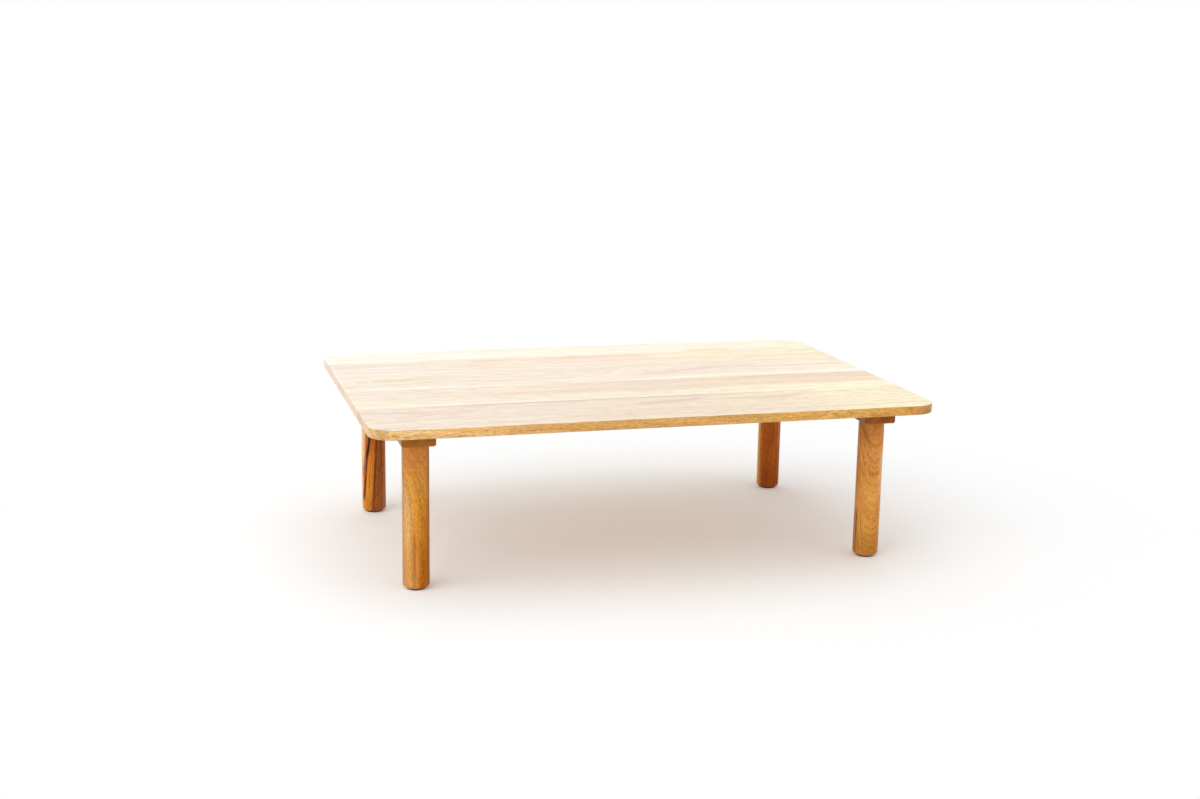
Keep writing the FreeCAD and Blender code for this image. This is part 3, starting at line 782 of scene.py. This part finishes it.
def metal_material(name, light, dark, low_rough, high_rough):
    """A plated metal: mottled plate, fine drawing marks and a roughness that varies."""
    material, g, shader = start_material(name)
    place = g.place()
    cloud = g.noise(place, scale=PLATE_CLOUD_SCALE, detail=3)
    speck = g.noise(place, scale=PLATE_SPECK_SCALE, detail=2)
    blotch = g.ramp(g.sum(g.times(cloud, 0.75), g.times(speck, 0.25)), 0.35, 0.65)
    g.fill(shader, {
        "Base Color": g.mix(blotch, dark, light), "Metallic": 1.0,
        "Roughness": g.spread(cloud, low_rough, high_rough),
        "Normal": g.bump(speck, PLATE_RELIEF, PLATE_RELIEF_MM),
    })
    return material


def glide_material():
    """Dark brown moulded plastic with a fine grain, scuffed where it meets the floor."""
    material, g, shader = start_material("glide_plastic")
    place = g.place()
    grain = g.noise(place, scale=GLIDE_GRAIN_SCALE, detail=2)
    cloud = g.noise(place, scale=GLIDE_CLOUD_SCALE, detail=2)
    _, _, facing_z = g.facing()
    scuff = g.times(g.ramp(facing_z, -0.9, -0.6, 1, 0), g.ramp(cloud, 0.45, 0.6))
    colour = g.mix(g.spread(grain), tint(34, 22, 16), tint(56, 38, 28))
    g.fill(shader, {
        "Base Color": g.mix(g.times(scuff, SCUFF_STRENGTH), colour, tint(120, 104, 90)),
        "Roughness": g.spread(grain, 0.5, 0.66),
        "Normal": g.bump(grain, GLIDE_RELIEF, GLIDE_RELIEF_MM),
    })
    return material


def dress_hardware():
    zinc = metal_material("zinc_plate", tint(214, 217, 220), tint(166, 171, 178), 0.26, 0.42)
    gold = metal_material("yellow_plate", tint(226, 196, 120), tint(176, 150, 84), 0.28, 0.44)
    finishes = {"hanger_bolt": zinc, "batten_screws": zinc, "batten_washers": zinc,
                "threaded_insert": gold, "glide": glide_material()}
    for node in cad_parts:
        for start, material in finishes.items():
            if node.startswith(start):
                dress(node, material)


# Studio

WHITE = (1, 1, 1, 1)
WORLD_LIGHT = 0.55
FLOOR_SIZE = 30.0
FLOOR_PAINT = (0.9, 0.9, 0.9, 1.0)
FLOOR_LIFT = 0.16

# The oval in which the floor shows the table's shadow: where it begins to fade and where it
# ends, across the table, and how much less a step along the table counts, squared
SHADOW_FADES = 0.45
SHADOW_ENDS = 1.15
SHADOW_OVAL = 0.6

# Name, place, target, width, height and power of each soft box
LAMPS = [
    ("key_box", (-2.6, -1.6, 2.4), (0, 0, 0.2), 3.4, 3.0, 58),
    ("fill_box", (2.8, -2.2, 1.6), (0, 0, 0.2), 4.2, 2.6, 17),
    ("top_box", (0.2, 0.5, 3.2), (0, 0, 0.35), 3.0, 3.0, 22),
    ("back_box", (0.6, 4.6, 2.7), (0, 0, 0.35), 6.0, 2.6, 30),
]


def rays_that_see(g):
    """1 for the rays that show the studio: to the camera, off a gloss or through glass."""
    path = g.add("ShaderNodeLightPath").outputs
    seen = g.larger(path["Is Camera Ray"], path["Is Glossy Ray"])
    return g.larger(seen, path["Is Transmission Ray"])


def make_floor():
    """A pale floor that keeps the table's shadow and turns to plain white further out."""
    bpy.ops.mesh.primitive_plane_add(size=FLOOR_SIZE)
    floor = bpy.context.active_object
    floor.name = "studio_floor"
    material, g, shader = start_material("studio_floor")
    g.fill(shader, {"Base Color": FLOOR_PAINT, "Roughness": 0.9, "Specular IOR Level": 0.1})
    x, y, _ = g.split(g.place())
    away = g.math("SQRT", g.sum(g.times(x, x, SHADOW_OVAL), g.times(y, y)))
    seen = rays_that_see(g)
    lift = g.add("ShaderNodeEmission", {"Color": WHITE, "Strength": g.times(seen, FLOOR_LIFT)})
    lifted = g.add("ShaderNodeAddShader", {0: shader.outputs[0], 1: lift.outputs[0]})
    white = g.add("ShaderNodeEmission", {"Color": WHITE, "Strength": 1.0})
    far = g.times(seen, g.ramp(away, SHADOW_FADES, SHADOW_ENDS))
    mix = g.add("ShaderNodeMixShader", {0: far, 1: lifted.outputs[0], 2: white.outputs[0]})
    g.fill(material.node_tree.nodes["Material Output"], {"Surface": mix.outputs[0]})
    floor.data.materials.append(material)


def make_world():
    """Soft light from all round; white where the camera or a reflection sees it."""
    world = bpy.data.worlds.new("studio")
    bpy.context.scene.world = world
    world.use_nodes = True
    g = Graph(world.node_tree)
    strength = g.ramp(rays_that_see(g), 0, 1, WORLD_LIGHT, 1.0, smooth=False)
    g.fill(world.node_tree.nodes["Background"], {"Color": WHITE, "Strength": strength})


def add_lamp(name, place, target, width, height, power):
    """A soft box that faces its target."""
    light = bpy.data.lights.new(name, "AREA")
    light.shape = "RECTANGLE"
    light.size = width
    light.size_y = height
    light.energy = power
    lamp = bpy.data.objects.new(name, light)
    bpy.context.scene.collection.objects.link(lamp)
    lamp.location = place
    lamp.rotation_mode = "QUATERNION"
    lamp.rotation_quaternion = (Vector(target) - Vector(place)).to_track_quat("-Z", "Y")
    lamp.visible_camera = False


# Camera: the photograph's viewpoint

IMAGE_WIDTH = 1200
LENS_PIXELS = 1662
SENSOR_MM = 36
FURTHEST_SEEN = 100
CAMERA_PLACE_MM = (-1037.8, -3482.8, 1095.1)
CAMERA_YAW = 16.133
CAMERA_PITCH = 12.243
CAMERA_ROLL = -0.99


def make_camera():
    data = bpy.data.cameras.new("camera")
    data.sensor_width = SENSOR_MM
    data.lens = SENSOR_MM * LENS_PIXELS / IMAGE_WIDTH
    data.clip_end = FURTHEST_SEEN
    camera = bpy.data.objects.new("camera", data)
    bpy.context.scene.collection.objects.link(camera)
    yaw, pitch, roll = (math.radians(a) for a in (CAMERA_YAW, CAMERA_PITCH, CAMERA_ROLL))
    ahead = Vector((math.sin(yaw) * math.cos(pitch), math.cos(yaw) * math.cos(pitch),
                    -math.sin(pitch)))
    right = Vector((math.cos(yaw), -math.sin(yaw), 0))
    up = right.cross(ahead)
    turned_right = right * math.cos(roll) - up * math.sin(roll)
    turned_up = up * math.cos(roll) + right * math.sin(roll)
    turn = Matrix((turned_right, turned_up, -ahead)).transposed()
    camera.matrix_world = Matrix.Translation(Vector(CAMERA_PLACE_MM) * MM) @ turn.to_4x4()
    bpy.context.scene.camera = camera


def main():
    dress_wood()
    dress_hardware()
    make_floor()
    make_world()
    for lamp in LAMPS:
        add_lamp(*lamp)
    make_camera()
    bpy.context.scene.view_settings.view_transform = "Standard"


main()
